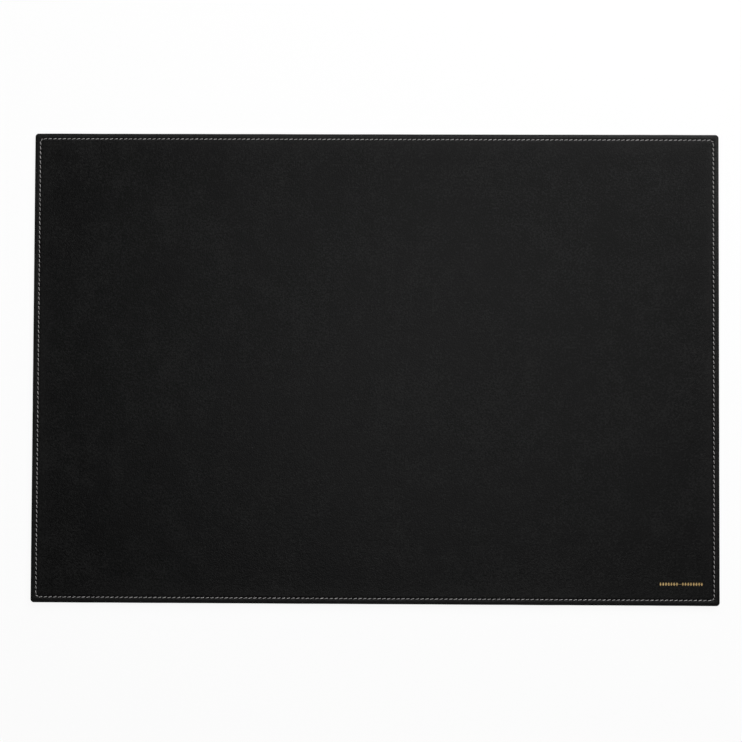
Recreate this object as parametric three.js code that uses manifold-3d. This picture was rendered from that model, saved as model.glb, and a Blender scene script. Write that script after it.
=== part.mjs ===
// Desk pad: black leather over a padded board, sewn all round with pale thread.
//
// Millimetres, +Z up. The pad lies flat: its underside is at z = 0, its middle is at
// x = y = 0, X runs along its width and Y away from the person who writes on it.
//
// The layers, bottom up, are a suede backing, a card between the turned-in margins of the
// leather, a stiffener board, a padding sheet and the leather itself. One seam goes round
// the edge through all of them: the needle thread lies in a channel on top and the bobbin
// thread in a channel underneath.

import * as THREE from 'three';
import Module from 'manifold-3d';
import { mergeVertices } from 'three/addons/utils/BufferGeometryUtils.js';

const wasm = await Module();
wasm.setup();

// The whole pad
const padWidth = 610;
const padDepth = 418;
const outerCornerRadius = 3;
const innerCornerRadius = 0.8;
const fitGap = 0.3;

// Thickness of each layer, bottom up
const backingThickness = 1.0;
const turnInThickness = 0.8;
const boardThickness = 1.6;
const paddingThickness = 1.0;
const leatherThickness = 1.2;

// How much of the padding's thickness is left where the seam and the border press it
const seamPaddingShare = 0.2;
const borderPaddingShare = 0.7;

// Leather: its rounded edges, the fall of its border and the margin turned in underneath
const upperEdgeRadius = 1.1;
const lowerEdgeRadius = 1.1;
const borderFall = 0.2;
const turnInWidth = 12;
const panelShoulderWidth = 0.7;
const borderShoulderWidth = 0.5;

// Seam: six stitches to the inch, each lying aslant in the channel
const seamInset = 4.9;
const seamCornerRadius = 3;
const stitchPitch = 4.23;
const stitchSlant = 0.38;
const channelClearance = 0.15;
const needleThreadDiameter = 0.75;
const bobbinThreadDiameter = 0.55;
const stitchEndRun = 0.5;
const floatLift = 0.04;

// Backing: how far it stays inside the leather's edge, and its own channel underneath
const backingInset = 2.0;
const backingEdgeRadius = 0.3;
const backingChannelDepth = 0.6;
const backingChannelClearance = 0.3;
const backingShoulderWidth = 0.5;

// Foil: a fine rule with small ovals on it, in two groups, pressed into the leather
const foilThickness = 0.06;
const foilSeatDepth = 0.1;
const foilClearance = 0.06;
const foilRuleHeight = 0.2;
const ovalHeight = 2.9;
const ovalWidth = 1.3;
const ovalPitch = 2.4;
const groupGap = 2.8;
const foilRightMargin = 14.7;
const foilBottomMargin = 19.2;

// Shares: the corner cut of the seam, the thread where it dips into its hole, and how far up
// an oval stays at full width and how much of the width its crown keeps
const cornerCutShare = 0.65;
const neckShare = 0.4;
const ovalSideShare = 0.45;
const ovalCrownShare = 0.5;

// Counts
const ovalsOnLeft = 7;
const ovalsOnRight = 8;
const cornerSteps = 6;
const edgeSteps = 4;
const shoulderSteps = 4;

// Levels that the layers share
const backingTop = backingThickness;
const turnInTop = backingTop + turnInThickness;
const boardTop = turnInTop + boardThickness;
const paddingTop = boardTop + paddingThickness;
const paddingUnderSeam = boardTop + paddingThickness * seamPaddingShare;
const paddingUnderBorder = boardTop + paddingThickness * borderPaddingShare;
const panelTop = paddingTop + leatherThickness;
const channelFloor = paddingUnderSeam + leatherThickness;
const borderTop = paddingUnderBorder + leatherThickness;

// Places across the seam, measured inwards from the pad's edge
const channelHalf = stitchSlant + needleThreadDiameter / 2 + channelClearance;
const channelOuter = seamInset - channelHalf;
const channelInner = seamInset + channelHalf;
const sheetInset = leatherThickness + fitGap;

// One closed line round the pad: a rectangle with round corners, counterclockwise from above
function ring(inset, radius, z) {
  const centreX = padWidth / 2 - inset - radius;
  const centreY = padDepth / 2 - inset - radius;
  const points = [];
  for (let corner = 0; corner < 4; corner += 1) {
    const signX = corner === 0 || corner === 3 ? 1 : -1;
    const signY = corner < 2 ? 1 : -1;
    for (let step = 0; step <= cornerSteps; step += 1) {
      const angle = (corner + step / cornerSteps) * Math.PI / 2;
      const x = signX * centreX + radius * Math.cos(angle);
      const y = signY * centreY + radius * Math.sin(angle);
      points.push(new THREE.Vector3(x, y, z));
    }
  }
  return points;
}

// Near the outer edge the corners follow the edge, near the seam they follow the seam
function edgeRing(inset, z) {
  return ring(inset, Math.max(outerCornerRadius - inset, innerCornerRadius), z);
}

function seamRing(inset, z) {
  return ring(inset, Math.max(seamCornerRadius + seamInset - inset, innerCornerRadius), z);
}

// Quarter of an ellipse between two rings: it leaves the first one upright and ends level
function upToLevel(makeRing, insetFrom, zFrom, insetTo, zTo, steps) {
  const rings = [];
  for (let step = 0; step <= steps; step += 1) {
    const angle = step / steps * Math.PI / 2;
    const inset = insetFrom + (insetTo - insetFrom) * (1 - Math.cos(angle));
    rings.push(makeRing(inset, zFrom + (zTo - zFrom) * Math.sin(angle)));
  }
  return rings;
}

function geometryOf(positions, indices) {
  const geometry = new THREE.BufferGeometry();
  geometry.setAttribute('position', new THREE.Float32BufferAttribute(positions, 3));
  geometry.setIndex(indices);
  return geometry;
}

// Band of triangles from each ring to the next one
function joinRings(indices, ringCount, size, closed) {
  const bands = closed ? ringCount : ringCount - 1;
  for (let band = 0; band < bands; band += 1) {
    const a = band * size;
    const b = ((band + 1) % ringCount) * size;
    for (let i = 0; i < size; i += 1) {
      const j = (i + 1) % size;
      indices.push(a + i, a + j, b + j, a + i, b + j, b + i);
    }
  }
}

// A layer: the first ring closes with a face that looks down, the last with one that looks up
function layer(rings) {
  const size = rings[0].length;
  const positions = rings.flat().flatMap((point) => point.toArray());
  const indices = [];
  joinRings(indices, rings.length, size, false);
  const last = (rings.length - 1) * size;
  for (let i = 1; i < size - 1; i += 1) {
    indices.push(0, i + 1, i);
    indices.push(last, last + i, last + i + 1);
  }
  return geometryOf(positions, indices);
}

function solidOf(geometry) {
  const bare = geometry.clone();
  bare.deleteAttribute('normal');
  bare.deleteAttribute('uv');
  const merged = mergeVertices(bare);
  const vertProperties = new Float32Array(merged.attributes.position.array);
  const triVerts = new Uint32Array(merged.index.array);
  return new wasm.Manifold(new wasm.Mesh({ numProp: 3, vertProperties, triVerts }));
}

function geometryOfSolid(solid) {
  const mesh = solid.getMesh();
  return geometryOf(Array.from(mesh.vertProperties), Array.from(mesh.triVerts));
}

const ornamentLength = (ovalsOnLeft + ovalsOnRight) * ovalPitch + groupGap;

// The ornament's outline. With grow it becomes the seat that is pressed into the leather.
function ornamentShape(grow) {
  const halfRule = foilRuleHeight / 2 + grow;
  const halfHeight = ovalHeight / 2 + grow;
  const sideHeight = ovalHeight / 2 * ovalSideShare + grow;
  const halfWidth = ovalWidth / 2 + grow;
  const halfCrown = ovalWidth / 2 * ovalCrownShare + grow;
  const upper = [];
  for (let index = 0; index < ovalsOnLeft + ovalsOnRight; index += 1) {
    const gap = index < ovalsOnLeft ? 0 : groupGap;
    const middle = (index + 0.5) * ovalPitch + gap - ornamentLength / 2;
    upper.push(
      [middle - halfWidth, halfRule], [middle - halfWidth, sideHeight],
      [middle - halfCrown, halfHeight], [middle + halfCrown, halfHeight],
      [middle + halfWidth, sideHeight], [middle + halfWidth, halfRule]);
  }
  const lower = upper.map(([x, y]) => [x, -y]).reverse();
  const end = ornamentLength / 2 + grow;
  const outline = [[-end, 0], ...upper, [end, 0], ...lower];
  return new THREE.Shape(outline.map(([x, y]) => new THREE.Vector2(x, y)));
}

function ornament(grow, bottom, top) {
  const depth = top - bottom;
  const geometry = new THREE.ExtrudeGeometry(ornamentShape(grow), { depth, bevelEnabled: false });
  const x = padWidth / 2 - foilRightMargin - ornamentLength / 2;
  const y = -padDepth / 2 + foilBottomMargin;
  return geometry.translate(x, y, bottom);
}

// The leather: from the roof of its hollow, round the margin and the edge, to the panel
function leatherCover() {
  const turnInEdge = leatherThickness + turnInWidth;
  const roundingTop = borderTop - borderFall;
  const roundingBottom = backingTop + lowerEdgeRadius;
  const inside = [
    seamRing(channelInner + panelShoulderWidth, paddingTop),
    seamRing(channelInner, paddingUnderSeam),
    seamRing(channelOuter, paddingUnderSeam),
    seamRing(channelOuter - borderShoulderWidth, paddingUnderBorder),
    edgeRing(leatherThickness, paddingUnderBorder),
    edgeRing(leatherThickness, turnInTop),
    edgeRing(turnInEdge, turnInTop),
    edgeRing(turnInEdge, backingTop),
  ];
  const underEdge = upToLevel(
    edgeRing, 0, roundingBottom, lowerEdgeRadius, backingTop, edgeSteps).reverse();
  const overEdge = upToLevel(
    edgeRing, 0, roundingTop - upperEdgeRadius, upperEdgeRadius, roundingTop, edgeSteps);
  const borderShoulder = upToLevel(
    seamRing, channelOuter, channelFloor,
    channelOuter - borderShoulderWidth, borderTop, shoulderSteps).reverse();
  const panelShoulder = upToLevel(
    seamRing, channelInner, channelFloor,
    channelInner + panelShoulderWidth, panelTop, shoulderSteps);
  const rings = [...inside, ...underEdge, ...overEdge, ...borderShoulder, ...panelShoulder];
  const seat = ornament(foilClearance, panelTop - foilSeatDepth, panelTop + foilSeatDepth);
  return geometryOfSolid(solidOf(layer(rings)).subtract(solidOf(seat)));
}

// The padding follows the leather down under the border and the seam
function paddingSheet() {
  return layer([
    edgeRing(sheetInset, boardTop),
    edgeRing(sheetInset, paddingUnderBorder),
    seamRing(channelOuter - borderShoulderWidth - fitGap, paddingUnderBorder),
    seamRing(channelOuter - fitGap, paddingUnderSeam),
    seamRing(channelInner + fitGap, paddingUnderSeam),
    seamRing(channelInner + panelShoulderWidth + fitGap, paddingTop),
  ]);
}

function stiffenerBoard() {
  return layer([edgeRing(sheetInset, turnInTop), edgeRing(sheetInset, boardTop)]);
}

function infillSheet() {
  const inset = leatherThickness + turnInWidth + fitGap;
  return layer([edgeRing(inset, backingTop), edgeRing(inset, turnInTop)]);
}

// The backing lies flat on the desk, with a channel for the bobbin thread
function suedeBacking() {
  const half = bobbinThreadDiameter / 2 + backingChannelClearance;
  const edge = upToLevel(
    edgeRing, backingInset, backingEdgeRadius,
    backingInset + backingEdgeRadius, 0, edgeSteps).reverse();
  return layer([
    seamRing(seamInset + half + backingShoulderWidth, 0),
    seamRing(seamInset + half, backingChannelDepth),
    seamRing(seamInset - half, backingChannelDepth),
    seamRing(seamInset - half - backingShoulderWidth, 0),
    ...edge,
    edgeRing(backingInset, backingTop),
  ]);
}

// The needle's holes, clockwise from above, with one stitch across each corner
function seamHoles() {
  const x = padWidth / 2 - seamInset;
  const y = padDepth / 2 - seamInset;
  const cut = seamCornerRadius * cornerCutShare;
  const turns = [
    [cut - x, y], [x - cut, y], [x, y - cut], [x, cut - y],
    [x - cut, -y], [cut - x, -y], [-x, cut - y], [-x, y - cut],
  ].map(([px, py]) => new THREE.Vector2(px, py));
  const holes = [];
  turns.forEach((start, index) => {
    const end = turns[(index + 1) % turns.length];
    const stitches = Math.max(1, Math.round(start.distanceTo(end) / stitchPitch));
    for (let stitch = 0; stitch < stitches; stitch += 1) {
      holes.push(start.clone().lerp(end, stitch / stitches));
    }
  });
  return holes;
}

function directionAt(holes, index) {
  const start = holes[(index + holes.length) % holes.length];
  const end = holes[(index + 1 + holes.length) % holes.length];
  return end.clone().sub(start).normalize();
}

function outwards(direction) {
  return new THREE.Vector2(-direction.y, direction.x);
}

// One turn of thread round the pad, three-sided: flat against its channel and ridged outside.
// Each station has a centre, the direction across it, a half width, a flat and a ridge level.
function threadLoop(stations, ridgeUp) {
  const size = 3;
  const positions = [];
  for (const { centre, across, half, flat, ridge } of stations) {
    const sideways = across.clone().multiplyScalar(ridgeUp ? half : -half);
    const first = centre.clone().sub(sideways);
    const second = centre.clone().add(sideways);
    positions.push(first.x, first.y, flat, second.x, second.y, flat, centre.x, centre.y, ridge);
  }
  const indices = [];
  joinRings(indices, stations.length, size, true);
  return geometryOf(positions, indices);
}

// On top each stitch starts on the inner side of the seam line and ends on the outer side
function needleThread(holes) {
  const half = needleThreadDiameter / 2;
  const floatFlat = channelFloor + floatLift;
  const stations = holes.flatMap((hole, index) => {
    const next = holes[(index + 1) % holes.length];
    const along = directionAt(holes, index);
    const across = outwards(along);
    const neckAcross = across.clone().add(outwards(directionAt(holes, index - 1))).normalize();
    const start = hole.clone().addScaledVector(along, stitchEndRun);
    const end = next.clone().addScaledVector(along, -stitchEndRun);
    const float = { across, half, flat: floatFlat, ridge: floatFlat + needleThreadDiameter };
    return [
      {
        centre: hole,
        across: neckAcross,
        half: half * neckShare,
        flat: channelFloor,
        ridge: channelFloor + needleThreadDiameter * neckShare,
      },
      { ...float, centre: start.addScaledVector(across, -stitchSlant) },
      { ...float, centre: end.addScaledVector(across, stitchSlant) },
    ];
  });
  return threadLoop(stations, true);
}

// Underneath the stitches lie straight, drawn up into the backing at each hole
function bobbinThread(holes) {
  const half = bobbinThreadDiameter / 2;
  const stations = holes.flatMap((hole, index) => {
    const next = holes[(index + 1) % holes.length];
    const across = outwards(directionAt(holes, index));
    const neckAcross = across.clone().add(outwards(directionAt(holes, index - 1))).normalize();
    return [
      {
        centre: hole,
        across: neckAcross,
        half: half * neckShare,
        flat: backingChannelDepth,
        ridge: backingChannelDepth - bobbinThreadDiameter * neckShare,
      },
      {
        centre: hole.clone().lerp(next, 0.5),
        across,
        half,
        flat: backingChannelDepth - floatLift,
        ridge: backingChannelDepth - floatLift - bobbinThreadDiameter,
      },
    ];
  });
  return threadLoop(stations, false);
}

// Finishes
const blackLeather = { color: 0x1d1d1e, roughness: 0.55, metalness: 0 };
const paleThread = { color: 0xcfc9c0, roughness: 0.7, metalness: 0 };
const goldFoil = { color: 0xc79f5e, roughness: 0.35, metalness: 0.9 };
const greyFelt = { color: 0x6e6c69, roughness: 1, metalness: 0 };
const brownBoard = { color: 0x7a6a55, roughness: 0.9, metalness: 0 };
const greyCard = { color: 0x8d8b86, roughness: 0.9, metalness: 0 };
const blackSuede = { color: 0x17171a, roughness: 0.95, metalness: 0 };

const pad = new THREE.Group();

function addPiece(name, geometry, finish) {
  geometry.computeVertexNormals();
  const mesh = new THREE.Mesh(geometry, new THREE.MeshStandardMaterial(finish));
  mesh.name = name;
  pad.add(mesh);
}

const holes = seamHoles();
addPiece('suede_backing', suedeBacking(), blackSuede);
addPiece('infill_sheet', infillSheet(), greyCard);
addPiece('stiffener_board', stiffenerBoard(), brownBoard);
addPiece('padding_sheet', paddingSheet(), greyFelt);
addPiece('leather_cover', leatherCover(), blackLeather);
addPiece('needle_thread', needleThread(holes), paleThread);
addPiece('bobbin_thread', bobbinThread(holes), paleThread);
const foilBottom = panelTop - foilSeatDepth;
addPiece('foil_ornament', ornament(0, foilBottom, foilBottom + foilThickness), goldFoil);

export default pad;
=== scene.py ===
# %% [markdown]
# A desk pad is a quiet object: a black leather sheet stretched over a padded board, one seam
# of pale thread all round, and a small gold stamp in a corner. There is nothing to hide
# behind, so the looks come from small things. The seam presses a channel into the leather,
# every stitch is twisted thread that dips into its own hole, and the grain breaks the light.
#
# The sizes were settled before this script, in a solid model of the pad. It is loaded first,
# and every new piece is laid where that model has it, in metres.

# %% Load the solid model
import math
import random

import bmesh
import bpy
from mathutils import Matrix, Vector, kdtree, noise


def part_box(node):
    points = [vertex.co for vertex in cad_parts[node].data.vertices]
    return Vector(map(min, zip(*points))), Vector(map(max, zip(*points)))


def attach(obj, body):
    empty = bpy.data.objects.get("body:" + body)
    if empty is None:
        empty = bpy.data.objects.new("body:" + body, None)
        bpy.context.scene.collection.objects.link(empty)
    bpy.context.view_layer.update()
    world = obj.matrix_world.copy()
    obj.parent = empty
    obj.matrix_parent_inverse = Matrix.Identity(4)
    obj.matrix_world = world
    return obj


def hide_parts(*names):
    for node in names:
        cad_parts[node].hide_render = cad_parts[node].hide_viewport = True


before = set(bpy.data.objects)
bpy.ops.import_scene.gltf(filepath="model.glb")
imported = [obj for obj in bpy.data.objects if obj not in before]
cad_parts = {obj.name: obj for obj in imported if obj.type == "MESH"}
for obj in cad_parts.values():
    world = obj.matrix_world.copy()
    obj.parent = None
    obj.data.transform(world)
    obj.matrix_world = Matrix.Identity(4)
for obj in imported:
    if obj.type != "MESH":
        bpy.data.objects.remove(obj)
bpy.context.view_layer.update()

# %% [markdown]
# Most places can be read from the solid model: how far each sheet reaches and at which level
# it lies. Only what a box can't tell, such as the radius of an edge, is written here. Reading
# the places instead of typing them keeps every layer seated on the one below it.

# %% Places that the solid model gives
MM = 0.001

cover_low, cover_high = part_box("leather_cover")
padding_low, padding_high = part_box("padding_sheet")
board_low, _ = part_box("stiffener_board")
_, infill_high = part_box("infill_sheet")
backing_low, backing_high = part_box("suede_backing")
needle_low, needle_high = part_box("needle_thread")
_, bobbin_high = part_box("bobbin_thread")
foil_low, foil_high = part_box("foil_ornament")

half_width, half_depth = cover_high.x, cover_high.y
panel_level = cover_high.z
margin_level = cover_low.z
channel_level = needle_low.z
leather_thickness = panel_level - padding_high.z
print("leather, mm:", round(leather_thickness / MM, 2))

# %% [markdown]
# The other sizes come from the photograph, at the scale that its stitches give, and from the
# trade: leather turns round an edge no tighter than about its own thickness, and a seam presses
# a channel a little wider than its thread.

# %% Sizes of the leather's form
FIT_GAP = 0.3 * MM
OUTER_CORNER = 3.0 * MM
INNER_CORNER = 0.8 * MM
SEAM_CORNER = 3.0 * MM
UPPER_EDGE = 1.1 * MM
LOWER_EDGE = 1.1 * MM
BORDER_DROP = 0.3 * MM
BORDER_FALL = 0.32 * MM
PANEL_SHOULDER = 0.7 * MM
BORDER_SHOULDER = 0.5 * MM
CHANNEL_CLEARANCE = 0.15 * MM

NEEDLE_THREAD = 0.75 * MM
BOBBIN_THREAD = 0.55 * MM
STITCH_PITCH = 4.23 * MM
STITCH_SLANT = 0.38 * MM
CORNER_CUT_SHARE = 0.65

seam_inset = half_width - needle_high.x + STITCH_SLANT + NEEDLE_THREAD / 2
channel_half = STITCH_SLANT + NEEDLE_THREAD / 2 + CHANNEL_CLEARANCE
channel_outer = seam_inset - channel_half
channel_inner = seam_inset + channel_half
border_level = panel_level - BORDER_DROP
print("seam inset, mm:", round(seam_inset / MM, 2))

# %% [markdown]
# On the real pad a machine sews once round the edge. Its needle holes are the beat that the
# whole border follows: the leather is drawn down at each one, and each float of thread runs
# from one hole to the next. So the holes are worked out first, as plain points, clockwise
# from above, with one shorter stitch across each corner.

# %% The needle's holes
def corner_turns():
    """The eight points where the seam turns, clockwise from above."""
    x, y = half_width - seam_inset, half_depth - seam_inset
    cut = SEAM_CORNER * CORNER_CUT_SHARE
    upper = [(cut - x, y), (x - cut, y), (x, y - cut), (x, cut - y)]
    return [Vector(p) for p in upper] + [-Vector(p) for p in upper]


def needle_holes(turns):
    holes = []
    for start, end in zip(turns, turns[1:] + turns[:1]):
        count = max(1, round((end - start).length / STITCH_PITCH))
        holes += [start.lerp(end, step / count) for step in range(count)]
    return holes


turns = corner_turns()
holes = needle_holes(turns)
run_length = [(turns[1] - turns[0]).length, (turns[3] - turns[2]).length]
stitches_along = [round(length / STITCH_PITCH) for length in run_length]
print("stitches:", len(holes), "along each side:", stitches_along)

# %% [markdown]
# Every sheet of the pad has the same outline: a rectangle with round corners. One loop of
# edges is a quad whose four corners are bevelled. A sheet or a wrapped cover is then a row
# of such loops, each inset and lifted a little, bridged one to the next. It could also be
# a cross section swept round the pad, but the corner radius changes from the outer edge to
# the seam, and loops take that as it comes.

# %% Loops and bridges
CORNER_STEPS = 8
APART = 50 * MM


def edge_corner(inset):
    return max(OUTER_CORNER - inset, INNER_CORNER)


def seam_corner(inset):
    return max(SEAM_CORNER + seam_inset - inset, INNER_CORNER)


def add_loop(bm, inset, radius, level):
    corners = bmesh.ops.create_grid(bm, x_segments=1, y_segments=1, size=1)["verts"]
    for corner in corners:
        corner.co = (math.copysign(half_width - inset, corner.co.x),
                     math.copysign(half_depth - inset, corner.co.y), level)
    others = set(bm.faces) - set(corners[0].link_faces)
    bmesh.ops.bevel(bm, geom=corners, offset=radius, offset_type="OFFSET",
                    segments=CORNER_STEPS, profile=0.5, affect="VERTICES", material=-1)
    face = (set(bm.faces) - others).pop()
    edges = face.edges[:]
    bmesh.ops.delete(bm, geom=[face], context="FACES_ONLY")
    return edges


def bridge_stations(bm, stations):
    """Loops in one plane give the bridge no direction, so they are made apart, then seated."""
    loops = []
    for number, (inset, radius, _) in enumerate(stations):
        loops.append(add_loop(bm, inset, radius, number * APART))
    for lower, upper in zip(loops, loops[1:]):
        bmesh.ops.bridge_loops(bm, edges=lower + upper)
    for loop, (_, _, level) in zip(loops, stations):
        for vert in {vert for edge in loop for vert in edge.verts}:
            vert.co.z = level
    return loops


def arc_stations(corner, inset_from, level_from, inset_to, level_to, steps):
    """Quarter of an ellipse. It leaves the first station upright and ends level."""
    stations = []
    for step in range(steps + 1):
        turn = math.pi / 2 * step / steps
        inset = inset_from + (inset_to - inset_from) * (1 - math.cos(turn))
        level = level_from + (level_to - level_from) * math.sin(turn)
        stations.append((inset, corner(inset), level))
    return stations


# %% [markdown]
# The bridged bands are as long as the pad. Near the seam they need a cut at every needle
# hole and a few between, so that the leather can sink at the hole and rise between two
# holes. The cuts go in while the loops are still straight. Each loop has its own length of
# straight run, so the cuts are then slid along it until they stand on the holes.

# %% Cuts that follow the stitches
CUTS_BETWEEN = 4
CROWDING = 0.5
SAME_PLACE = 0.01 * MM
HALVES = (half_width, half_depth)


def inset_of(point):
    return min(half - abs(point[axis]) for axis, half in enumerate(HALVES))


def side_edges(bm, axis, keep):
    """Edges that run along one axis, on that side's stretch between two round corners."""
    found = []
    for edge in bm.edges:
        start, end = edge.verts[0].co, edge.verts[1].co
        run = abs(end[axis] - start[axis])
        drift = abs(end[1 - axis] - start[1 - axis]) + abs(end.z - start.z)
        beside = HALVES[1 - axis] - abs(start[1 - axis]) < HALVES[axis] - abs(start[axis])
        if run > STITCH_PITCH / 2 and drift < SAME_PLACE and beside and keep(start):
            found.append(edge)
    return found


def of_kind(items, kind):
    return [item for item in items if isinstance(item, kind)]


def cut_edges(bm, edges, cuts):
    made = bmesh.ops.subdivide_edges(bm, edges=edges, cuts=cuts)["geom_inner"]
    return set(of_kind(made, bmesh.types.BMVert))


def row_of(vert, axis):
    """Names the loop's straight run that a point lies on, to the micrometre."""
    return round(vert.co[1 - axis], 6), round(vert.co.z, 6)


def cut_at_holes(bm, keep):
    for axis in (0, 1):
        edges = side_edges(bm, axis, keep)
        ends = {row_of(vert, axis): abs(vert.co[axis]) for edge in edges for vert in edge.verts}
        for vert in cut_edges(bm, edges, stitches_along[axis] - 1):
            vert.co[axis] *= run_length[axis] / 2 / ends[row_of(vert, axis)]


def cut_between_holes(bm, keep, cuts):
    """More cuts, drawn together towards the holes, where the surface bends most."""
    for axis in (0, 1):
        pitch = run_length[axis] / stitches_along[axis]
        for vert in cut_edges(bm, side_edges(bm, axis, keep), cuts):
            turn = 2 * math.pi * (vert.co[axis] + run_length[axis] / 2) / pitch
            vert.co[axis] -= pitch * CROWDING * math.sin(turn) / (2 * math.pi)


# %% [markdown]
# A finished mesh becomes a piece in one place, so that each one gets the same care: its
# faces are turned outwards, it is shaded smooth up to a crease angle, and it is checked for
# open edges. A closed body is worth the trouble, because it can be printed, lit through and
# measured like the real thing.

# %% Make a piece from a mesh
CREASE_ANGLE = math.radians(50)
ROUND = math.radians(100)


def make_piece(bm, name, finish, stands_for, crease=CREASE_ANGLE):
    bmesh.ops.recalc_face_normals(bm, faces=bm.faces[:])
    open_edges = sum(not edge.is_manifold for edge in bm.edges)
    mesh = bpy.data.meshes.new(name)
    bm.to_mesh(mesh)
    bm.free()
    mesh.shade_smooth()
    mesh.set_sharp_from_angle(angle=crease)
    mesh.materials.append(finish)
    piece = bpy.data.objects.new(name, mesh)
    bpy.context.scene.collection.objects.link(piece)
    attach(piece, "root")
    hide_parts(stands_for)
    print(name, "faces:", len(mesh.polygons), "open edges:", open_edges)
    return piece


# %% [markdown]
# Finishes are small trees of a few textures in the piece's own coordinates. The helpers below
# add a node and set what they are given, by socket name where there is one, which keeps each
# finish short enough to read as a recipe.

# %% Helpers for finishes
NOISE_LOW, NOISE_HIGH = 0.3, 0.7


def new_finish(name):
    finish = bpy.data.materials.new(name)
    finish.use_nodes = True
    print("finish:", name)
    return finish, finish.node_tree, finish.node_tree.nodes["Principled BSDF"]


def feed(tree, node, inputs):
    """Each value is a plain one, or the output of another node."""
    for name, value in inputs.items():
        if isinstance(value, bpy.types.NodeSocket):
            tree.links.new(value, node.inputs[name])
        else:
            node.inputs[name].default_value = value


def add_node(tree, kind, inputs=None, **settings):
    node = tree.nodes.new(kind)
    for name, value in settings.items():
        setattr(node, name, value)
    feed(tree, node, inputs or {})
    return node


def own_coordinates(tree):
    return tree.nodes.new("ShaderNodeTexCoord").outputs["Object"]


def noise_of(tree, vector, size, detail=2.0, roughness=0.5):
    """Smooth noise whose blotches are about as large as size, in metres."""
    node = add_node(tree, "ShaderNodeTexNoise", {
        "Vector": vector, "Scale": 1 / size, "Detail": detail, "Roughness": roughness})
    return node.outputs["Fac"]


def remap(tree, value, low, high, to_low, to_high):
    node = add_node(tree, "ShaderNodeMapRange", {
        "Value": value, "From Min": low, "From Max": high, "To Min": to_low, "To Max": to_high})
    return node.outputs["Result"]


def spread(tree, value, to_low, to_high):
    """Noise seldom leaves its middle range, so that range is what gets remapped."""
    return remap(tree, value, NOISE_LOW, NOISE_HIGH, to_low, to_high)


def combine(tree, operation, first, second):
    node = add_node(tree, "ShaderNodeMath", {0: first, 1: second}, operation=operation)
    return node.outputs[0]


def with_share(tree, total, part, share, operation="ADD"):
    """total with so much of part added, or taken away."""
    return combine(tree, operation, total, combine(tree, "MULTIPLY", part, share))


def mix_colours(tree, share, first, second):
    """Each colour is a tuple or the output of another node."""
    node = add_node(tree, "ShaderNodeMix", {"Factor": share}, data_type="RGBA")
    sockets = [socket for socket in node.inputs if socket.type == "RGBA"]
    for socket, colour in zip(sockets, (first, second)):
        if isinstance(colour, tuple):
            socket.default_value = (*colour, 1)
        else:
            tree.links.new(colour, socket)
    return next(socket for socket in node.outputs if socket.type == "RGBA")


def bump_of(tree, height, depth):
    """Bump whose full height is depth, in metres."""
    node = add_node(tree, "ShaderNodeBump", {"Height": height, "Distance": depth})
    return node.outputs["Normal"]


# %% [markdown]
# The leather is a finely pebbled black calf. Its grain has three sizes: pebbles with narrow
# creases between them, pores, and the slow unevenness of a hide that was tumbled. It could be
# sculpted, but a pebble is about a millimetre wide and the pad has some 150,000 of them. So
# the grain is a bump, made of cells whose borders are bent by noise, since straight ones would
# look like crystals.

# %% The leather's grain
PEBBLE = 1.3 * MM
PEBBLE_SOFTNESS = 0.25
PEBBLE_REACH = 0.75
CREASE_REACH = 0.16
BEND = 1.6 * MM
BEND_REACH = 0.45 * MM
PORE = 0.35 * MM
TUMBLE = 7 * MM

DOME_HEIGHT_MM = 0.07
CREASE_HEIGHT_MM = -0.035
PORE_HEIGHT_MM = 0.025
TUMBLE_HEIGHT_MM = 0.13


def on_vectors(tree, operation, inputs):
    """Like combine, for coordinates."""
    return add_node(tree, "ShaderNodeVectorMath", inputs, operation=operation).outputs[0]


def bent(tree, place, size, reach):
    """Coordinates that noise of this size pushes about by up to reach."""
    push = add_node(tree, "ShaderNodeTexNoise", {
        "Vector": place, "Scale": 1 / size, "Detail": 1.0}).outputs["Color"]
    push = on_vectors(tree, "ADD", {0: push, 1: (-0.5, -0.5, -0.5)})
    push = on_vectors(tree, "SCALE", {0: push, "Scale": 2 * reach})
    return on_vectors(tree, "ADD", {0: place, 1: push})


def leather_grain(tree, place):
    """Returns the height in mm, the creases, and three random numbers for each pebble."""
    where = {"Vector": bent(tree, place, BEND, BEND_REACH), "Scale": 1 / PEBBLE}
    pebbles = add_node(tree, "ShaderNodeTexVoronoi", {**where, "Smoothness": PEBBLE_SOFTNESS},
                       feature="SMOOTH_F1").outputs
    borders = add_node(tree, "ShaderNodeTexVoronoi", where, feature="DISTANCE_TO_EDGE").outputs
    dome = remap(tree, pebbles["Distance"], 0.0, PEBBLE_REACH, 1.0, 0.0)
    crease = remap(tree, borders["Distance"], 0.0, CREASE_REACH, 1.0, 0.0)
    pores = noise_of(tree, place, PORE, detail=3.0)
    tumbled = noise_of(tree, place, TUMBLE)
    height = combine(tree, "MULTIPLY", dome, DOME_HEIGHT_MM)
    height = with_share(tree, height, crease, CREASE_HEIGHT_MM)
    height = with_share(tree, height, pores, PORE_HEIGHT_MM)
    height = with_share(tree, height, tumbled, TUMBLE_HEIGHT_MM)
    chances = add_node(tree, "ShaderNodeSeparateColor", {"Color": pebbles["Color"]}).outputs
    return height, crease, chances


# %% [markdown]
# Almost all of what the eye gets from black leather is the sheen of its finish. What matters
# is that it is never even. No two pebbles are dyed and finished alike, which from a distance
# reads as a lively speckle, and larger patches and slow clouds drift over the whole hide. The
# creases between the pebbles are also painted darker: that is painted shade, standing in for
# the shade that falls into them.
# Where the edge and the seam are rubbed, the leather is glossier and a little lighter; the
# mesh carries an attribute that says where.

# %% Black leather
SPECKLE = 1.8 * MM
PATCH = 16 * MM
CLOUD = 75 * MM
SCUFF = 3 * MM
SCUFF_SHARE = (0.3, 1.0)

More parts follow.
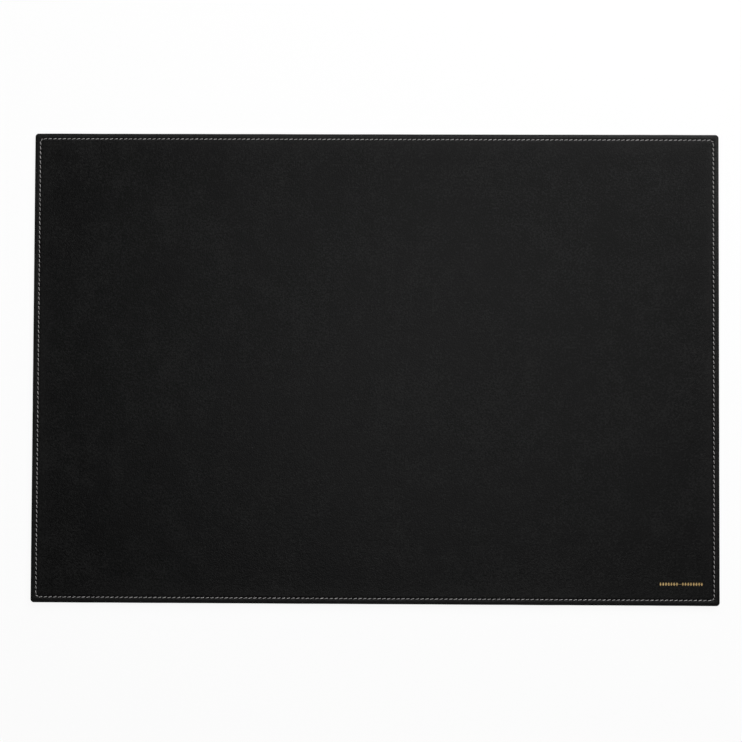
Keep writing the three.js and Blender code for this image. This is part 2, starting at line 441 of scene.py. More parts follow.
ROUGHNESS = 0.38
CLOUD_ROUGHNESS = 0.045
PATCH_ROUGHNESS = 0.02
SPECKLE_ROUGHNESS = 0.04
PEBBLE_ROUGHNESS = 0.03
CREASE_ROUGHNESS = 0.1
RUBBED_SMOOTHNESS = 0.08

DARKEST = (0.0003, 0.0003, 0.0003)
LIGHTEST = (0.0089, 0.0090, 0.0088)
WORN = (0.0095, 0.0096, 0.0094)
PEBBLE_TONE = 0.4
SPECKLE_TONE = (-0.7, 0.9)
CLOUD_TONE = 0.35
PATCH_TONE = 0.33
# How much darker the creases are painted: painted shade in the creases.
CREASE_PAINTED_SHADE = 0.4


def leather_finish():
    finish, tree, shader = new_finish("black_leather")
    place = own_coordinates(tree)
    height, crease, chances = leather_grain(tree, place)
    clouds = noise_of(tree, place, CLOUD, detail=3.0, roughness=0.55)
    patches = noise_of(tree, place, PATCH, roughness=0.6)
    speckle = noise_of(tree, place, SPECKLE, detail=1.0)
    wear = add_node(tree, "ShaderNodeAttribute", attribute_name="rub").outputs["Fac"]
    scuffs = spread(tree, noise_of(tree, place, SCUFF, detail=4.0), *SCUFF_SHARE)
    rubbed = combine(tree, "MULTIPLY", wear, scuffs)

    rough = spread(tree, clouds, ROUGHNESS - CLOUD_ROUGHNESS, ROUGHNESS + CLOUD_ROUGHNESS)
    for part in (spread(tree, patches, -PATCH_ROUGHNESS, PATCH_ROUGHNESS),
                 spread(tree, speckle, -SPECKLE_ROUGHNESS, SPECKLE_ROUGHNESS),
                 remap(tree, chances["Green"], 0.0, 1.0, -PEBBLE_ROUGHNESS, PEBBLE_ROUGHNESS)):
        rough = combine(tree, "ADD", rough, part)
    rough = with_share(tree, rough, crease, CREASE_ROUGHNESS)
    rough = with_share(tree, rough, rubbed, RUBBED_SMOOTHNESS, "SUBTRACT")

    tone = combine(tree, "ADD", combine(tree, "MULTIPLY", chances["Red"], PEBBLE_TONE),
                   spread(tree, speckle, *SPECKLE_TONE))
    for part, reach in ((clouds, CLOUD_TONE), (patches, PATCH_TONE)):
        tone = combine(tree, "ADD", tone, spread(tree, part, -reach, reach))
    # Painted shade: the colour is made darker in the creases, for the shade that falls into them.
    tone = with_share(tree, tone, crease, CREASE_PAINTED_SHADE, "SUBTRACT")
    # The colour is the pebbles' own dye together with the painted shade of the creases.
    dye_and_crease_shade = mix_colours(tree, tone, DARKEST, LIGHTEST)

    feed(tree, shader, {
        "Base Color": mix_colours(tree, rubbed, dye_and_crease_shade, WORN), "Roughness": rough,
        "Specular IOR Level": 0.15, "Normal": bump_of(tree, height, MM)})
    return finish


black_leather = leather_finish()

# %% [markdown]
# The thread is a bonded three-ply. From arm's length it reads as a pale dash, and close up
# as a little rope, so the plies are in the mesh and only the fibres are in the finish: fine
# streaks that run along the twist. Handled thread is never one even colour, so each stitch
# carries its own tone.

# %% Pale thread
THREAD_DARK = (0.35, 0.337, 0.334)
THREAD_LIGHT = (0.59, 0.570, 0.566)
FIBRE_TURN = math.radians(35)
FIBRE_SCALE = (4, 18, 1)
FIBRE_TONE = 0.15
FIBRE_HEIGHT = 0.05 * MM


def thread_finish():
    finish, tree, shader = new_finish("pale_thread")
    along = tree.nodes.new("ShaderNodeTexCoord").outputs["UV"]
    turned = add_node(tree, "ShaderNodeMapping", {
        "Vector": along, "Rotation": (0, 0, FIBRE_TURN), "Scale": FIBRE_SCALE}).outputs[0]
    fibres = noise_of(tree, turned, 1.0, detail=3.0)
    tone = add_node(tree, "ShaderNodeAttribute", attribute_name="tone").outputs["Fac"]
    share = combine(tree, "ADD", tone, spread(tree, fibres, -FIBRE_TONE, FIBRE_TONE))
    feed(tree, shader, {
        "Base Color": mix_colours(tree, share, THREAD_DARK, THREAD_LIGHT), "Roughness": 0.62,
        "Sheen Weight": 0.2, "Sheen Roughness": 0.4,
        "Normal": bump_of(tree, fibres, FIBRE_HEIGHT)})
    return finish


pale_thread = thread_finish()

# %% [markdown]
# Microsuede has no weave to show. What makes it suede is the nap: a soft rim of light at low
# angles, which the sheen of the shader gives, and patches where the fibres were stroked
# another way. Those patches are painted sheen: the colour is made a little lighter and darker
# in them, for the light that the nap catches differently where it lies another way.

# %% Black suede
SUEDE_DARK = (0.008, 0.008, 0.009)
SUEDE_LIGHT = (0.020, 0.020, 0.022)
NAP = 0.25 * MM
NAP_TONE = 0.2
NAP_HEIGHT = 0.12 * MM
STROKE = 22 * MM
STROKE_SCALE = (1.0, 0.35, 1.0)
PATCHY = (0.35, 0.65, 0.0, 0.8)


def suede_finish():
    finish, tree, shader = new_finish("black_suede")
    place = own_coordinates(tree)
    nap = noise_of(tree, place, NAP, detail=4.0, roughness=0.7)
    stretched = add_node(tree, "ShaderNodeMapping", {
        "Vector": place, "Scale": STROKE_SCALE}).outputs[0]
    # Painted sheen: stroke patches that make the colour a little lighter and darker, for the nap's
    # sheen where its fibres lie another way.
    painted_stroke_sheen = noise_of(tree, stretched, STROKE, detail=4.0, roughness=0.6)
    share = combine(tree, "ADD", remap(tree, painted_stroke_sheen, *PATCHY),
                    spread(tree, nap, -NAP_TONE, NAP_TONE))
    feed(tree, shader, {
        "Base Color": mix_colours(tree, share, SUEDE_DARK, SUEDE_LIGHT), "Roughness": 0.95,
        "Specular IOR Level": 0.15, "Sheen Weight": 0.35, "Sheen Roughness": 0.45,
        "Normal": bump_of(tree, nap, NAP_HEIGHT)})
    return finish


black_suede = suede_finish()

# %% [markdown]
# Foil is stamped hot, and it takes on the high spots of the grain only. So the gold is
# metal with small flecks of leather showing through, and its gloss is uneven.

# %% Gold foil
GOLD = (0.64, 0.445, 0.195)
BARE_SPOT = (0.02, 0.016, 0.011)
FLECK = 0.5 * MM
FLECK_HEIGHT = 0.03 * MM
BARE_FROM, BARE_TO = 0.56, 0.66
FLECKS_TO_ROUGHNESS = (0.3, 0.6, 0.28, 0.5)


def foil_finish():
    finish, tree, shader = new_finish("gold_foil")
    flecks = noise_of(tree, own_coordinates(tree), FLECK, detail=3.0, roughness=0.6)
    bare = remap(tree, flecks, BARE_FROM, BARE_TO, 0.0, 1.0)
    feed(tree, shader, {
        "Base Color": mix_colours(tree, bare, GOLD, BARE_SPOT),
        "Metallic": remap(tree, bare, 0.0, 1.0, 1.0, 0.0),
        "Roughness": remap(tree, flecks, *FLECKS_TO_ROUGHNESS),
        "Normal": bump_of(tree, flecks, FLECK_HEIGHT)})
    return finish


gold_foil = foil_finish()

# %% [markdown]
# Three more finishes are for the sheets inside. They are sealed in and never seen in use, but
# a pad is sometimes taken apart, and then felt, fibre board and card should look like
# themselves. All three are matt and flecked, so one recipe serves them: fine specks over slow
# clouds, each sheet with its own colours and its own size of speck.

# %% Inner sheets
CLOUD_IN_SPECKS = 30


def speckled_finish(name, dark, light, speck, roughness, depth):
    finish, tree, shader = new_finish(name)
    place = own_coordinates(tree)
    specks = noise_of(tree, place, speck, detail=4.0, roughness=0.65)
    clouds = noise_of(tree, place, CLOUD_IN_SPECKS * speck)
    share = combine(tree, "ADD", remap(tree, specks, *PATCHY), spread(tree, clouds, -0.1, 0.2))
    feed(tree, shader, {
        "Base Color": mix_colours(tree, share, dark, light), "Roughness": roughness,
        "Normal": bump_of(tree, specks, depth)})
    return finish


grey_felt = speckled_finish(
    "grey_felt", dark=(0.10, 0.095, 0.09), light=(0.22, 0.21, 0.20),
    speck=0.6 * MM, roughness=1.0, depth=0.15 * MM)
fibre_board = speckled_finish(
    "fibre_board", dark=(0.11, 0.08, 0.05), light=(0.26, 0.20, 0.13),
    speck=1.2 * MM, roughness=0.9, depth=0.05 * MM)
grey_card = speckled_finish(
    "grey_card", dark=(0.20, 0.195, 0.19), light=(0.32, 0.31, 0.30),
    speck=0.9 * MM, roughness=0.9, depth=0.04 * MM)

for name, finish in (("stiffener_board", fibre_board), ("infill_sheet", grey_card)):
    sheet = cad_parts[name]
    sheet.data.materials.clear()
    sheet.data.materials.append(finish)


# %% [markdown]
# The ornament is a fine rule with small ovals on it, in two groups. The same outline is used
# twice: once for the foil itself and once, a hair larger, for the seat that the hot die
# pressed into the leather.

# %% The ornament's outline
FOIL_CLEARANCE = 0.06 * MM
FOIL_RULE = 0.2 * MM
OVAL_WIDTH = 1.3 * MM
OVAL_PITCH = 2.4 * MM
OVAL_STEPS = 8
OVALS_ON_LEFT = 7
OVALS_ON_RIGHT = 8
GROUP_GAP = 2.8 * MM

foil_middle = (foil_low + foil_high) / 2
half_foil = (foil_high - foil_low) / 2


def ornament_points(grow):
    """Points round the ornament, from its middle, with the outline moved out by grow."""
    half_rule = FOIL_RULE / 2 + grow
    half_oval = OVAL_WIDTH / 2 + grow
    half_height = half_foil.y + grow
    first = math.asin(half_rule / half_height)
    arc = math.pi - 2 * first
    turns_over = [first + arc * step / OVAL_STEPS for step in range(OVAL_STEPS + 1)]
    upper = []
    for number in range(OVALS_ON_LEFT + OVALS_ON_RIGHT):
        gap = GROUP_GAP if number >= OVALS_ON_LEFT else 0
        middle = (number + 0.5) * OVAL_PITCH + gap - half_foil.x
        upper += [(middle - half_oval * math.cos(turn), half_height * math.sin(turn))
                  for turn in turns_over]
    lower = [(x, -y) for x, y in reversed(upper)]
    end = half_foil.x + grow
    return [(-end, 0), *upper, (end, 0), *lower]


def add_ornament(bm, grow, level):
    """The outline as a closed loop of edges at one level."""
    points = [bm.verts.new((foil_middle.x + x, foil_middle.y + y, level))
              for x, y in ornament_points(grow)]
    return [bm.edges.new(pair) for pair in zip(points, points[1:] + points[:1])]


print("points round the ornament:", len(ornament_points(0)))

# %% [markdown]
# The panel isn't a sheet of glass. Felt and leather leave it a few hundredths of a
# millimetre uneven, enough for the sheen to drift across it. One function says how far a
# point of the panel lies off its plain place, and the foil asks the same function as the
# leather, so it stays in its seat.

# %% How the leather settles
HOLE_DEPTH = 0.5 * MM
HOLE_REACH = 0.55 * MM
PUCKER_DEPTH = 0.04 * MM
PUCKER_REACH = 1.9 * MM
WAVE_DEPTH = 0.07 * MM
WAVE_LENGTH = 70 * MM
WAVE_ONSET = 12 * MM
RIM_WANDER = 0.12 * MM
RIM_LENGTH = 38 * MM
RIM_WIDTH = 3.0 * MM
RIM_SLICE = 5 * MM

hole_tree = kdtree.KDTree(len(holes))
for number, hole in enumerate(holes):
    hole_tree.insert((hole.x, hole.y, 0), number)
hole_tree.balance()


def hole_distance(point):
    return hole_tree.find((point.x, point.y, 0))[2]


def bell(distance, reach):
    return math.exp(-((distance / reach) ** 2))


def panel_wave(point):
    """Nothing at the seam, and full from WAVE_ONSET inwards."""
    share = min(max((inset_of(point) - channel_inner) / WAVE_ONSET, 0.0), 1.0)
    return WAVE_DEPTH * share * noise.noise(Vector((point.x, point.y, 0)) / WAVE_LENGTH)


def rim_shift(point):
    """The rim wanders in and out a little, as a hand-turned edge does."""
    shift = RIM_WANDER * noise.noise(Vector((point.x, point.y, RIM_SLICE)) / RIM_LENGTH)
    for axis, half in enumerate(HALVES):
        share = min(max(1 - (half - abs(point[axis])) / RIM_WIDTH, 0.0), 1.0)
        point[axis] += math.copysign(shift * share, point[axis])


print("depth at a hole, mm:", round((HOLE_DEPTH + PUCKER_DEPTH) / MM, 2))

# %% [markdown]
# The cover is one piece of leather. Starting on the panel it dips into the seam's channel,
# rises to the border, rolls over the edge, turns in underneath and ends as the margin that
# the backing hides; its inner side is the hollow that the padding and the board fill.
#
# It could be a flat box with a bump map, and from above that would nearly do. From the side
# it would not, so the whole wrap is modelled.

# %% The wrap of the cover
PANEL_STEPS, BORDER_STEPS, UPPER_STEPS, LOWER_STEPS = 6, 5, 6, 4
CROWN_FALL_SHARE = 0.45
FIRST_BAND = 1.2 * MM
SECOND_BAND = 1.4 * MM

band_inset = channel_inner + PANEL_SHOULDER + FIRST_BAND
panel_inset = band_inset + SECOND_BAND


def cover_stations():
    """Two lists of (inset, corner radius, level): the leather's outside, then its inside."""
    margin_inset = half_width - infill_high.x - FIT_GAP
    rim_level = border_level - BORDER_FALL
    panel_shoulder = arc_stations(seam_corner, channel_inner, channel_level,
                                  channel_inner + PANEL_SHOULDER, panel_level, PANEL_STEPS)
    border_shoulder = arc_stations(seam_corner, channel_outer, channel_level,
                                   channel_outer - BORDER_SHOULDER, border_level, BORDER_STEPS)
    upper_edge = arc_stations(edge_corner, 0, rim_level - UPPER_EDGE, UPPER_EDGE, rim_level,
                              UPPER_STEPS)
    lower_edge = arc_stations(edge_corner, 0, margin_level + LOWER_EDGE, LOWER_EDGE,
                              margin_level, LOWER_STEPS)
    bands = [(inset, seam_corner(inset), panel_level) for inset in (panel_inset, band_inset)]
    floor_insets = (seam_inset + channel_half / 2, seam_inset, seam_inset - channel_half / 2)
    floor = [(inset, seam_corner(inset), channel_level) for inset in floor_insets]
    crown_inset = (UPPER_EDGE + channel_outer - BORDER_SHOULDER) / 2
    crown = [(crown_inset, edge_corner(crown_inset),
              border_level - BORDER_FALL * CROWN_FALL_SHARE)]
    outside = bands + panel_shoulder[::-1] + floor + border_shoulder + crown
    outside += upper_edge[::-1] + lower_edge

    under_seam = channel_level - leather_thickness
    under_border = border_level - leather_thickness
    inside = [(inset, edge_corner(inset), level) for inset, level in (
        (margin_inset, margin_level), (margin_inset, board_low.z),
        (leather_thickness, board_low.z), (leather_thickness, under_border))]
    inside += [(inset, seam_corner(inset), level) for inset, level in (
        (channel_outer - BORDER_SHOULDER, under_border), (channel_outer, under_seam),
        (channel_inner, under_seam), (channel_inner + PANEL_SHOULDER, padding_high.z))]
    return outside, inside


# %% [markdown]
# Inside the last loop lies the panel. It starts as one large face, and planes cut it into
# fields, along lines that already stand on the needle's holes. The fields carry the slow
# waves. Where the ornament sits, some are taken out and the outline of its seat is let in:
# `triangle_fill` closes the flat stretch between the two, and the outline is extruded down.

# %% The panel and the ornament's seat
STITCHES_PER_FIELD = 2
SEAT_MARGIN = 1.0 * MM
CUT_TOLERANCE = 0.001 * MM


def cut_fields(bm, panel):
    """Bisects the panel along both axes and returns its fields."""
    fields = [panel]
    for axis in (0, 1):
        pitch = run_length[axis] / stitches_along[axis]
        for number in range(STITCHES_PER_FIELD, stitches_along[axis], STITCHES_PER_FIELD):
            place = [0, 0, 0]
            place[axis] = number * pitch - run_length[axis] / 2
            normal = [0, 0, 0]
            normal[axis] = 1
            crossed = [face for face in fields if min(v.co[axis] for v in face.verts) < place[axis]
                       < max(v.co[axis] for v in face.verts)]
            geometry = {item for face in crossed for item in (face, *face.edges, *face.verts)}
            cut = bmesh.ops.bisect_plane(bm, geom=list(geometry), dist=CUT_TOLERANCE,
                                         plane_co=place, plane_no=normal)["geom"]
            rest = set(fields) - set(crossed)
            fields = list(rest | set(of_kind(cut, bmesh.types.BMFace)))
    return fields


def cut_opening(bm, fields):
    """Takes out the fields under the ornament and returns the edges round the opening."""
    low = foil_low - Vector((SEAT_MARGIN, SEAT_MARGIN, 0))
    high = foil_high + Vector((SEAT_MARGIN, SEAT_MARGIN, 0))
    under = []
    for face in fields:
        spans = [sorted(vert.co[axis] for vert in face.verts) for axis in (0, 1)]
        if all(span[0] < high[axis] and span[-1] > low[axis] for axis, span in enumerate(spans)):
            under.append(face)
    edges = {edge for face in under for edge in face.edges}
    bmesh.ops.delete(bm, geom=under, context="FACES")
    return [edge for edge in edges if edge.is_valid]


def press_seat(bm, opening):
    outline = add_ornament(bm, FOIL_CLEARANCE, panel_level)
    bmesh.ops.triangle_fill(bm, edges=opening + outline, use_beauty=True)
    walls = bmesh.ops.extrude_edge_only(bm, edges=outline)["geom"]
    sunk = of_kind(walls, bmesh.types.BMVert)
    bmesh.ops.translate(bm, verts=sunk, vec=(0, 0, foil_low.z - panel_level))
    floor = [edge for edge in of_kind(walls, bmesh.types.BMEdge)
             if all(vert in sunk for vert in edge.verts)]
    bmesh.ops.triangle_fill(bm, edges=floor, use_beauty=True)


def add_panel(bm, edges):
    face = bmesh.ops.contextual_create(bm, geom=edges)["faces"][0]
    fields = cut_fields(bm, face)
    print("fields of the panel:", len(fields))
    press_seat(bm, cut_opening(bm, fields))


# %% [markdown]
# The wrap is bridged, cut and closed by the panel while all of it is still straight and
# level. Only then does the leather settle: it sinks at each hole, takes its waves and wanders
# at its rim. The same pass writes how rubbed each point is, for the finish.

# %% Build the leather cover
NEAR = 0.1 * MM
EDGE_RUB_INSET = 2 * MM
EDGE_RUB_REACH = 2.2 * MM
SEAM_RUB = 0.5
SEAM_RUB_REACH = 8 * MM


def build_cover():
    bm = bmesh.new()
    outside, inside = cover_stations()
    loops = bridge_stations(bm, outside + inside)

    def on_skin(point):
        inset = inset_of(point)
        return any(abs(inset - place) + abs(point.z - level) < SAME_PLACE
                   for place, _, level in outside)

    def near_seam(point):
        above = point.z > channel_level - NEAR
        return above and UPPER_EDGE - NEAR < inset_of(point) < band_inset + NEAR and on_skin(point)

    bmesh.ops.contextual_create(bm, geom=loops[-1])
    cut_at_holes(bm, on_skin)
    cut_between_holes(bm, near_seam, CUTS_BETWEEN)
    add_panel(bm, [edge for edge in bm.edges if edge.is_boundary])
    return bm


def settle_cover(bm):
    rub = bm.verts.layers.float.new("rub")
    for vert in bm.verts:
        point = vert.co
        inset = inset_of(point)
        if point.z > (channel_level + padding_high.z) / 2 and inset > UPPER_EDGE:
            distance = hole_distance(point)
            point.z -= HOLE_DEPTH * bell(distance, HOLE_REACH)
            point.z -= PUCKER_DEPTH * bell(distance, PUCKER_REACH)
            point.z += panel_wave(point)
        edge_rub = bell(inset - EDGE_RUB_INSET, EDGE_RUB_REACH)
        vert[rub] = edge_rub + SEAM_RUB * bell(inset - channel_inner, SEAM_RUB_REACH)
        rim_shift(point)


cover_mesh = build_cover()
settle_cover(cover_mesh)
cover = make_piece(cover_mesh, "black_leather_cover", black_leather, "leather_cover")

# %% [markdown]
# Thread is a rope, and a stitch is a short length of it that comes up out of one hole and
# goes down the next. A capped ring of six points, spun along a line, gives the length. Every
# other point stands out a little and the rings turn along the way, which is all that three
# twisted plies need. One such stitch is a template: the seam places it hundreds of times, so
# it has only fifty faces.

# %% One stitch of thread
STITCH_RINGS = 8
STITCH_SIDES = 6
TWIST = math.radians(55)
PLY_RIDGE = 0.12
END_GAP = 0.14


def stitch_template():
    """A straight tube from x = 0 to x = 1, with its ring and side kept for shape and UV."""
    bm = bmesh.new()
    upright = Matrix.Rotation(math.pi / 2, 4, "Y")
    bmesh.ops.create_circle(bm, cap_ends=True, segments=STITCH_SIDES, radius=1, matrix=upright)
    geometry = bm.verts[:] + bm.edges[:] + bm.faces[:]
    bmesh.ops.spin(bm, geom=geometry, axis=(0, 0, 1), dvec=(1 / STITCH_RINGS, 0, 0), angle=0,
                   steps=STITCH_RINGS)
    ring = bm.verts.layers.int.new("ring")
    side = bm.verts.layers.int.new("side")
    bm.verts.layers.float.new("tone")
    uv = bm.loops.layers.uv.new("UVMap")
    for vert in bm.verts:
        vert[ring] = round(vert.co.x * STITCH_RINGS)
        turn = math.atan2(vert.co.z, vert.co.y) / (2 * math.pi / STITCH_SIDES)
        vert[side] = round(turn) % STITCH_SIDES
    for face in bm.faces:
        sides = [loop.vert[side] for loop in face.loops]
        for loop in face.loops:
            wrapped = loop.vert[side] == 0 and max(sides) == STITCH_SIDES - 1
            across = STITCH_SIDES if wrapped else loop.vert[side]
            loop[uv].uv = (across / STITCH_SIDES, loop.vert[ring] / STITCH_RINGS)
    bmesh.ops.recalc_face_normals(bm, faces=bm.faces[:])
    mesh = bpy.data.meshes.new("stitch_template")
    bm.to_mesh(mesh)
    bm.free()
    return mesh


template = stitch_template()
print("faces of one stitch:", len(template.polygons))

# %% [markdown]
# Each stitch is then bent to its own place. It rises steeply from the hole, lies across the
# channel at a slant, because the needle's point cuts a slanted slit, and dives again. Its
# slack, tone and turn are drawn from seeded random numbers: a machine is even, not perfect.

# %% Sew the seam
END_TAPER = 0.25
TAPER_POWER = 6
DIP_POWER = 5
SEATED_SHARE = 0.9
THICKNESS_SPREAD = (0.95, 1.05)
SLANT_SPREAD = (0.85, 1.1)
ARCH_SPREAD = (0.6, 1.4)
TONE_SPREAD = (0.25, 0.75)


def add_stitch(bm, start, end, look):
    """look: thickness, slant, level, lift (+1 on top, -1 underneath), arch, dip, tone, turn."""
    span = end - start
    length = span.length
    along = Vector((span.x, span.y, 0)) / length
    outward = Vector((-along.y, along.x, 0))
    before = set(bm.verts)
    bm.from_mesh(template)
    ring = bm.verts.layers.int["ring"]
    side = bm.verts.layers.int["side"]
    tone = bm.verts.layers.float["tone"]
    for vert in bm.verts:
        if vert in before:
            continue
        share = 0.5 - 0.5 * math.cos(math.pi * vert[ring] / STITCH_RINGS)
        ends = abs(2 * share - 1)
        reach = length * (END_GAP + (1 - 2 * END_GAP) * share)
        sideways = look["slant"] * (2 * share - 1)
        radius = look["thick"] / 2 * (1 - END_TAPER * ends ** TAPER_POWER)
        radius *= 1 + PLY_RIDGE * (1 if vert[side] % 2 else -1)
        angle = 2 * math.pi * vert[side] / STITCH_SIDES + TWIST * vert[ring] + look["turn"]
        height = look["thick"] / 2 * SEATED_SHARE + look["arch"] * (1 - ends ** 2)
        height -= look["dip"] * ends ** DIP_POWER
        centre = start.to_3d() + along * reach + outward * sideways
        vert.co = centre + outward * radius * math.cos(angle)
        vert.co.z = look["level"] + look["lift"] * (height + radius * math.sin(angle))
        vert[tone] = look["tone"]


def sew(name, stands_for, thick, slant, level, lift, arch, dip, seed):
    chance = random.Random(seed)
    bm = bmesh.new()
    for layer in ("ring", "side"):
        bm.verts.layers.int.new(layer)
    bm.verts.layers.float.new("tone")
    for start, end in zip(holes, holes[1:] + holes[:1]):
        add_stitch(bm, start, end, {
            "thick": thick * chance.uniform(*THICKNESS_SPREAD),
            "slant": slant * chance.uniform(*SLANT_SPREAD), "level": level, "lift": lift,
            "arch": arch * chance.uniform(*ARCH_SPREAD), "dip": dip,
            "tone": chance.uniform(*TONE_SPREAD), "turn": chance.uniform(0, math.pi)})
    return make_piece(bm, name, pale_thread, stands_for, crease=ROUND)


sew("needle_stitches", "needle_thread", thick=NEEDLE_THREAD, slant=STITCH_SLANT,
    level=channel_level, lift=1, arch=0.08 * MM, dip=0.55 * MM, seed=11)
sew("bobbin_stitches", "bobbin_thread", thick=BOBBIN_THREAD, slant=0,
    level=bobbin_high.z, lift=-1, arch=0.01 * MM, dip=0.3 * MM, seed=12)


# %% [markdown]
# The foil is a film, thinner than paper. It lies in the seat that the die pressed, and
# follows the leather's slow waves. It is drawn thicker than the real film, because it has to
# be a solid body here.

# %% Lay the gold foil
def build_foil():
    bm = bmesh.new()
    outline = add_ornament(bm, 0, foil_low.z)
    filled = bmesh.ops.triangle_fill(bm, edges=outline, use_beauty=True)["geom"]
    faces = of_kind(filled, bmesh.types.BMFace)
    raised = bmesh.ops.extrude_face_region(bm, geom=faces)["geom"]
    bmesh.ops.translate(bm, verts=of_kind(raised, bmesh.types.BMVert),
                        vec=(0, 0, foil_high.z - foil_low.z))
    for vert in bm.verts:
        vert.co.z += panel_wave(vert.co)
    return bm


make_piece(build_foil(), "gold_foil", gold_foil, "foil_ornament")

# %% [markdown]
# Under the leather lies a sheet of felt. It is what makes the surface kind to a pen, and it
# is why the border sits lower than the panel: the stitching squeezes it almost flat.

# %% Lay the felt padding
FELT_EDGE = 0.2 * MM
FELT_STEPS = 4


def dip_stations(corner, places, steps):
    """A section that goes smoothly from each (inset, level) to the next."""
    stations = []
    for (inset_from, level_from), (inset_to, level_to) in zip(places, places[1:]):
        for step in range(steps):
            share = step / steps
            ease = share * share * (3 - 2 * share)
            inset = inset_from + (inset_to - inset_from) * share
            stations.append((inset, corner(inset), level_from + (level_to - level_from) * ease))
    inset, level = places[-1]
    return stations + [(inset, corner(inset), level)]


def build_padding():
    bm = bmesh.new()
    inset = half_width - padding_high.x
    under_seam = channel_level - leather_thickness
    under_border = border_level - leather_thickness
    section = [(channel_outer - BORDER_SHOULDER - FIT_GAP, under_border),
               (channel_outer - FIT_GAP, under_seam),
               (channel_inner + FIT_GAP, under_seam),
               (channel_inner + PANEL_SHOULDER + 2 * FIT_GAP, padding_high.z)]
    edge = [(inset, edge_corner(inset), padding_low.z),
            (inset, edge_corner(inset), under_border - FELT_EDGE),
            (inset + FELT_EDGE, edge_corner(inset), under_border)]
    loops = bridge_stations(bm, edge + dip_stations(seam_corner, section, FELT_STEPS))
    for loop in (loops[0], loops[-1]):
        bmesh.ops.contextual_create(bm, geom=loop)
    return bm


felt = make_piece(build_padding(), "felt_padding", grey_felt, "padding_sheet")

# %% [markdown]
# The underside is closed by one sheet of microsuede, set back from the edge so that it can't
# be seen or peeled. The bobbin thread is drawn into it, so it has a channel of its own, and
# at each hole it is pulled up a little.

# %% Lay the suede underside
BACKING_EDGE = 0.3 * MM
BACKING_EDGE_STEPS = 4
BACKING_CHANNEL = BOBBIN_THREAD / 2 + 0.3 * MM
BACKING_SHOULDER = 0.5 * MM
BACKING_FLAT = 2 * MM
BACKING_STEPS = 3
BACKING_CUTS = 2
BACKING_CUT_MARGIN = 1 * MM
SUEDE_PULL = 0.22 * MM
SUEDE_REACH = 0.6 * MM


def build_suede():
    bm = bmesh.new()
    low, deep, top = backing_low.z, bobbin_high.z, backing_high.z
    inner = seam_inset + BACKING_CHANNEL
    outer = seam_inset - BACKING_CHANNEL
    inset = half_width - backing_high.x
    section = [(inner + BACKING_SHOULDER + BACKING_FLAT, low), (inner + BACKING_SHOULDER, low),
               (inner, deep), (seam_inset, deep), (outer, deep), (outer - BACKING_SHOULDER, low)]
    edge = arc_stations(edge_corner, inset, low + BACKING_EDGE, inset + BACKING_EDGE, low,
                        BACKING_EDGE_STEPS)
    stations = dip_stations(seam_corner, section, BACKING_STEPS) + edge[::-1]
    loops = bridge_stations(bm, stations + [(inset, edge_corner(inset), top)])
    for loop in (loops[0], loops[-1]):
        bmesh.ops.contextual_create(bm, geom=loop)

    def near_seam(point):
        below = point.z < top - NEAR
        return below and inset + BACKING_EDGE < inset_of(point) < inner + BACKING_CUT_MARGIN

    cut_at_holes(bm, near_seam)
    cut_between_holes(bm, near_seam, BACKING_CUTS)
    for vert in bm.verts:
        if vert.co.z < top - NEAR:
            vert.co.z += SUEDE_PULL * bell(hole_distance(vert.co), SUEDE_REACH)
    return bm


suede = make_piece(build_suede(), "suede_underside", black_suede, "suede_backing")

# %% [markdown]
# The floor is a plain pale sheet. Seen by the camera it is white, yet it still takes the
# pad's shadow: part of its white is its own colour under the lamps, and part is a glow that
# only the camera and mirror-like rays see, so it adds no light to the pad.

# %% Floor
PAPER_SHARE = 0.85
SHADED_SHARE = 0.09
GLOW_STRENGTH = 0.92
FLOOR_REACH = 20


def diffuse(tree, share):
    return add_node(tree, "ShaderNodeBsdfDiffuse", {"Color": (share, share, share, 1)}).outputs[0]


def floor_finish():
    finish, tree, _ = new_finish("pale_floor")
    tree.nodes.clear()
    glow = add_node(tree, "ShaderNodeEmission", {"Color": (1, 1, 1, 1), "Strength": GLOW_STRENGTH})
    seen = add_node(tree, "ShaderNodeAddShader", {
        0: diffuse(tree, SHADED_SHARE), 1: glow.outputs[0]}).outputs[0]
    path = tree.nodes.new("ShaderNodeLightPath").outputs
    mirror = combine(tree, "MAXIMUM", path["Is Glossy Ray"], path["Is Transmission Ray"])
    direct = combine(tree, "MAXIMUM", path["Is Camera Ray"], mirror)
    mix = add_node(tree, "ShaderNodeMixShader", {
        0: direct, 1: diffuse(tree, PAPER_SHARE), 2: seen}).outputs[0]
    add_node(tree, "ShaderNodeOutputMaterial", {"Surface": mix})
    return finish


pale_floor = floor_finish()


def add_stage(bm, name):
    mesh = bpy.data.meshes.new(name)
    bm.to_mesh(mesh)
    bm.free()
    mesh.materials.append(pale_floor)
    piece = bpy.data.objects.new(name, mesh)
    bpy.context.scene.collection.objects.link(piece)
    print(name, "faces:", len(mesh.polygons))


def make_floor():
    bm = bmesh.new()
    bmesh.ops.create_grid(bm, x_segments=1, y_segments=1, size=FLOOR_REACH)
    add_stage(bm, "floor")


make_floor()

# %% [markdown]
# A photographer's paper runs up the wall behind the table. Here it stands all round, far off
# and a few metres high: from any side the pad is seen against the same white, and at a low
# angle the leather has something pale to mirror, as black leather does in a real studio.

# %% Backdrop
BACKDROP_RADIUS = 15
BACKDROP_HEIGHT = 3.6
BACKDROP_SIDES = 96


def make_backdrop():
    bm = bmesh.new()
    upwards = Matrix.Translation((0, 0, BACKDROP_HEIGHT / 2))
    bmesh.ops.create_cone(bm, segments=BACKDROP_SIDES, radius1=BACKDROP_RADIUS,
                          radius2=BACKDROP_RADIUS, depth=BACKDROP_HEIGHT, matrix=upwards)
    bmesh.ops.reverse_faces(bm, faces=bm.faces[:])
    add_stage(bm, "backdrop")


make_backdrop()

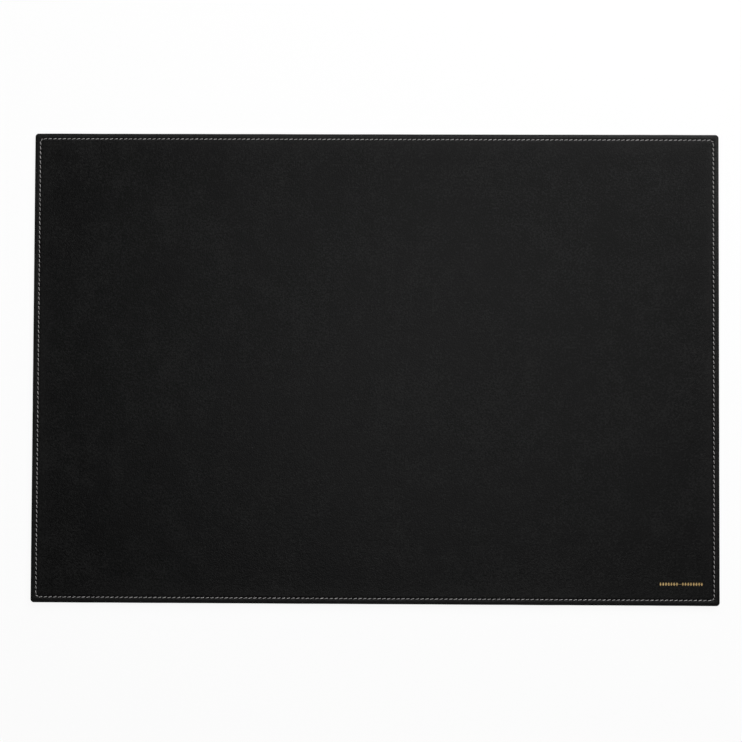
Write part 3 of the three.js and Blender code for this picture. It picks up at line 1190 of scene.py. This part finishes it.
# %% [markdown]
# Black leather shows its lamps, not its colour: a camera straight above sees in the panel
# whatever hangs overhead. So five weak fields hang there side by side, and their levels paint
# the slow drift of tone, from a dark left to a lighter upper right. Two thirds of the light
# come from aside, where the panel doesn't mirror it to the camera: a large key lamp at the
# upper right, and wide lamps beyond the far edge that rake over the seam. Together they give
# less than a full level: a cover of plain grey, written as 0.5, renders at 0.29 near the front
# left corner and at 0.43 near the back right one.

# %% Lamps and world
OVERHEAD_HEIGHT = 1.3
OVERHEAD_SIZE = (0.45, 0.4)
OVERHEAD_LEVELS = {(-0.2, -0.15): 0.025, (-0.2, 0.2): 0.042, (0.1, -0.15): 0.044,
                   (0.1, 0.2): 0.091, (0.4, -0.15): 0.036}
SIDE_LAMPS = {
    "key_lamp": {"place": (1.1, 1.0, 1.3), "size": (0.8, 0.8), "level": 0.26},
    "back_lamp": {"place": (0.05, 1.0, 0.8), "size": (1.2, 0.6), "level": 0.17},
    "low_back_lamp": {"place": (0.0, 1.5, 0.8), "size": (1.8, 0.6), "level": 0.08},
    "left_lamp": {"place": (-1.4, 0.2, 1.2), "size": (0.8, 0.8), "level": 0.02},
}
WORLD_LEVEL = 0.015


def add_lamp(name, place, size, level):
    """level is the share of a full, plain light level that the lamp gives at the pad."""
    distance = Vector(place).length
    facing = place[2] / distance
    light = bpy.data.lights.new(name, "AREA")
    light.shape = "RECTANGLE"
    light.size, light.size_y = size
    light.energy = level * math.pi ** 2 * distance ** 2 / facing
    lamp = bpy.data.objects.new(name, light)
    lamp.location = place
    lamp.rotation_euler = Vector(place).to_track_quat("Z", "Y").to_euler()
    lamp.visible_camera = False
    bpy.context.scene.collection.objects.link(lamp)
    print(name, "W:", round(light.energy, 1))


for number, ((x, y), level) in enumerate(OVERHEAD_LEVELS.items()):
    add_lamp(f"overhead_lamp_{number}", (x, y, OVERHEAD_HEIGHT), OVERHEAD_SIZE, level)
for name, lamp in SIDE_LAMPS.items():
    add_lamp(name, **lamp)

world = bpy.data.worlds.new("studio")
world.use_nodes = True
feed(world.node_tree, world.node_tree.nodes["Background"], {
    "Color": (1, 1, 1, 1), "Strength": WORLD_LEVEL})
bpy.context.scene.world = world
bpy.context.scene.view_settings.view_transform = "Standard"

# %% [markdown]
# The camera hangs above the pad and looks almost straight down. Its place was fitted to the
# four corners in the photograph, so it leans by a degree or two.

# %% Camera
LENS_MM = 85
SENSOR_MM = 36
CAMERA_PLACE = (0.0165, -0.0548, 1.5605)
CAMERA_DEGREES = (1.927, 0.736, 0.249)

lens = bpy.data.cameras.new("camera")
lens.lens = LENS_MM
lens.sensor_width = SENSOR_MM
camera = bpy.data.objects.new("camera", lens)
camera.location = CAMERA_PLACE
camera.rotation_euler = [math.radians(angle) for angle in CAMERA_DEGREES]
bpy.context.scene.collection.objects.link(camera)
bpy.context.scene.camera = camera
print("camera above the pad, m:", CAMERA_PLACE[2])
